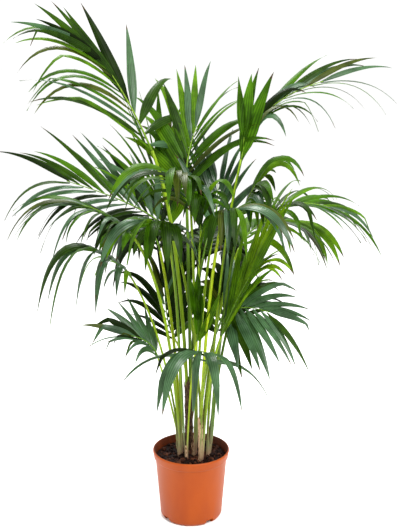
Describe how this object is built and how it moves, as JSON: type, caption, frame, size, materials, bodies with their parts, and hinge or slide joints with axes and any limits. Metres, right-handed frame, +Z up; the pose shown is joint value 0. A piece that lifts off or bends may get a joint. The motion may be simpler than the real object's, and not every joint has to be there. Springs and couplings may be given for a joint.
{
  "type": "potted kentia palm",
  "caption": "Potted kentia palm: slender green stalks rise from fibrous stems and carry arching feathery fronds, in a round moulded pot filled with soil.",
  "frame": {"origin": "middle of the pot's flat underside", "axes": "+Z up along the pot's axis, -Y towards the front as pictured, +X to the right"},
  "size_m": [1.2211, 0.7467, 1.5839],
  "materials": {
    "pot": "satin",
    "soil": "rough",
    "stem": "matte",
    "stalk": "satin",
    "leaf": "satin"
  },
  "bodies": {
    "root": {"pot": "pot", "soil": "soil", "stem_left": "stem", "stem_thin": "stem", "stem_middle": "stem", "stem_front": "stem", "stem_right": "stem", "stem_back_right": "stem", "stem_back": "stem", "stalk_upper_left": "stalk", "stalk_upper_right": "stalk", "stalk_young_right": "stalk", "stalk_top_middle": "stalk", "stalk_long_left": "stalk", "stalk_arched_left": "stalk", "stalk_drooping_left": "stalk", "stalk_front_left": "stalk", "stalk_young_front": "stalk", "stalk_arched_right": "stalk", "stalk_long_right": "stalk", "stalk_bright_right": "stalk", "stalk_lower_right": "stalk", "stalk_lower_left": "stalk", "stalk_lower_front": "stalk", "stalk_upright_middle": "stalk", "stalk_young_low": "stalk", "stalk_hanging_right": "stalk", "stalk_hanging_left": "stalk", "stalk_back_left": "stalk", "stalk_back_right": "stalk", "stalk_back_middle": "stalk", "stalk_back_low_right": "stalk", "stalk_back_low_left": "stalk", "stalk_back_upper": "stalk", "frond_upper_left": "leaf", "frond_upper_right": "leaf", "frond_young_right": "leaf", "frond_top_middle": "leaf", "frond_long_left": "leaf", "frond_arched_left": "leaf", "frond_drooping_left": "leaf", "frond_front_left": "leaf", "frond_young_front": "leaf", "frond_arched_right": "leaf", "frond_long_right": "leaf", "frond_bright_right": "leaf", "frond_lower_right": "leaf", "frond_lower_left": "leaf", "frond_lower_front": "leaf", "frond_upright_middle": "leaf", "frond_young_low": "leaf", "frond_hanging_right": "leaf", "frond_hanging_left": "leaf", "frond_back_left": "leaf", "frond_back_right": "leaf", "frond_back_middle": "leaf", "frond_back_low_right": "leaf", "frond_back_low_left": "leaf", "frond_back_upper": "leaf"}
  },
  "joints": []
}
